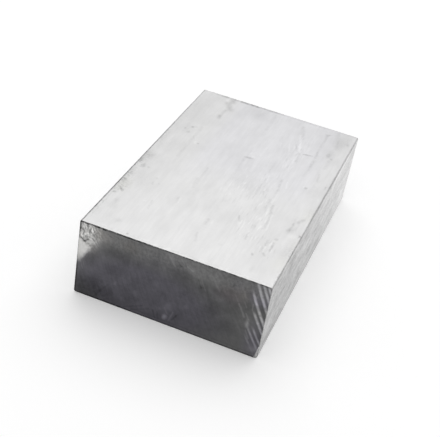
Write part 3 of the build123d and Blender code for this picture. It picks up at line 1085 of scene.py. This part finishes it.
def bright_patch(s, place, flat, x, z):
    """The rubbed corner, whose brightness is a painted highlight: how much it shows, and its mottled
    tone.
    """
    top, foot = Vector(PATCH_TOP) * MM, Vector(PATCH_FOOT) * MM
    down = (foot - top).normalized()
    left_of_line = s.add(s.times(s.take(x, top.x), down.y), s.times(s.take(z, top.y), -down.x))
    inward = s.least(left_of_line, s.take(PATCH_RIGHT, x))
    wander = s.times(s.take(s.named_noise("patch's wander", place), 0.5), PATCH_WANDER)
    wandering = s.add(inward, wander)
    shown = s.times(s.fade(wandering, "into the patch"), s.fade(z, "patch's foot"))
    high = s.fade(z, "veil's upper part")
    veil = s.times(s.fade(inward, "veil beside the patch"), s.take(1.0, high))
    veil = s.add(veil, s.times(s.fade(wandering, "veil above"), high))
    veil = s.times(veil, s.fade(z, "veil's strength"))
    lean = s.fade(x, "feather's lean")
    leaning = s.add(x, s.times(s.take(z, FEATHER_ROOT), lean))
    feather = s.named_noise("patch's feather", s.vector(leaning, -LENGTH / 2, z))
    mottled = s.level(feather, "mottled tone", smooth=False)
    flecks = s.strokes(s.shaken(flat, place, "patch flecks"), PATCH_FLECKS)
    mottled = s.times(mottled, s.take(1.0, s.least(flecks, DARKEST_FLECK)))
    calm = s.fade(s.add(z, s.times(s.add(x, WIDTH / 2), CALM_SLOPE)), "calm part")
    calm_tone = s.times(s.fade(z, "calm tone"), s.level(feather, "calm mottling"))
    rubbed = s.add(s.times(mottled, s.take(1.0, calm)), s.times(calm, calm_tone))
    veil_tone = s.times(s.level(feather, "veil's mottling"), VEIL_TONE)
    both = s.most(shown, veil)
    laid = s.add(s.times(rubbed, shown), s.times(s.take(both, shown), veil_tone))
    return both, s.over(laid, s.most(both, LEAST_SHARE))


def end_rim(s, place, x, z):
    """What the ends' rims add to their tone, as a share of it: darker under the top, along the left and
    right rims and in dashes, a painted shade along the foot, and a light and a dark line above the foot.
    """
    uneven = s.level(s.named_noise("end's rim unevenness", place), "end's rim unevenness")
    under_top = s.fade(z, "under the top")
    how_dark = s.add(s.fade(x, "under the top, left part"), s.fade(x, "under the top, right part"))
    under_top = s.times(under_top, how_dark)
    dashes = tuple((start, DASH_HEIGHT, end, DASH_HEIGHT, *rest) for start, end, *rest in TOP_DASHES)
    under_top = s.add(under_top, s.strokes(s.vector(x, z, 0.0), dashes))
    # Painted shade along the foot of an end, darker on the left.
    to_right = s.fade(x, "foot's right part")
    low = s.ramp(z, s.ramp(to_right, 0, 1, *FOOT_RIM_TOP), s.ramp(to_right, 0, 1, *FOOT_RIM_FULL))
    low = s.times(low, s.ramp(to_right, 0, 1, *FOOT_RIM_TONES))
    light_line = s.times(s.fade(z, "light line's foot"), s.fade(z, "light line's tone"))
    dark_line = s.times(s.fade(z, "dark line's foot"), s.fade(z, "dark line's tone"))
    line = s.times(s.add(light_line, dark_line), to_right)
    left = s.fade(x, "end's left rim")
    how_dark = s.add(s.fade(z, "end's left rim, high"), s.fade(z, "end's left rim, low"))
    left = s.times(left, how_dark)
    right = s.fade(x, "end's right rim's tone")
    rim = s.add(s.add(under_top, low), s.add(line, s.add(left, right)))
    return s.most(s.times(rim, uneven), DARKEST_RIM)


# The stage: floor, light and camera

def pale_floor():
    """A wide white floor under the block, which the camera and the metal see a little brighter."""
    corners = [(x * FLOOR_HALF, y * FLOOR_HALF, 0) for x, y in ((-1, -1), (1, -1), (1, 1), (-1, 1))]
    mesh = bpy.data.meshes.new("floor")
    mesh.from_pydata(corners, [], [(0, 1, 2, 3)])
    floor = new_object("floor", mesh)
    material, s, shader = new_finish("pale_floor")
    shader.inputs["Base Color"].default_value = (FLOOR_TONE, FLOOR_TONE, FLOOR_TONE, 1.0)
    shader.inputs["Roughness"].default_value = 1.0
    shader.inputs["Specular IOR Level"].default_value = 0.0
    shader.inputs["Emission Color"].default_value = (1.0, 1.0, 1.0, 1.0)
    rays = s.node("ShaderNodeLightPath").outputs
    seen = s.most(rays["Is Camera Ray"], s.most(rays["Is Glossy Ray"], rays["Is Transmission Ray"]))
    s.feed(shader.inputs["Emission Strength"], s.times(seen, FLOOR_LIFT))
    mesh.materials.append(material)


def soft_light():
    """An even pale room and one big soft lamp, high up behind the block and a little to its left."""
    world = bpy.data.worlds.new("room")
    world.use_nodes = True
    inputs = world.node_tree.nodes["Background"].inputs
    inputs["Color"].default_value = (1.0, 1.0, 1.0, 1.0)
    inputs["Strength"].default_value = ROOM_LIGHT
    bpy.context.scene.world = world

    lamp = bpy.data.lights.new("soft_lamp", "AREA")
    lamp.shape = "SQUARE"
    lamp.size = LAMP_SIZE
    lamp.energy = LAMP_WATTS
    holder = new_object("soft_lamp", lamp)
    across, up = math.cos(LAMP_ELEVATION), math.sin(LAMP_ELEVATION)
    toward = Vector((math.sin(LAMP_AZIMUTH) * across, math.cos(LAMP_AZIMUTH) * across, up))
    holder.location = toward * LAMP_DISTANCE
    holder.rotation_mode = "QUATERNION"
    holder.rotation_quaternion = toward.to_track_quat("Z", "Y")


def camera():
    """The camera at the photograph's viewing angle."""
    data = bpy.data.cameras.new("camera")
    data.sensor_width = SENSOR_WIDTH
    data.lens = FOCAL_PIXELS * SENSOR_WIDTH / PICTURE_WIDTH
    data.clip_start, data.clip_end = 0.01, 50.0
    made = new_object("camera", data)
    turn = Matrix.Rotation(LOOK_AZIMUTH, 4, "Z")
    tip = Matrix.Rotation(math.pi / 2 - LOOK_DOWN, 4, "X")
    roll = Matrix.Rotation(CAMERA_ROLL, 4, "Z")
    made.matrix_world = Matrix.Translation(EYE) @ turn @ tip @ roll
    bpy.context.scene.camera = made


bpy.context.scene.view_settings.view_transform = "Standard"
pale_floor()
soft_light()
camera()

block = grow_block(mill_finish(), sawn_finish())
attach(block, "root")
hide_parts(BLOCK)
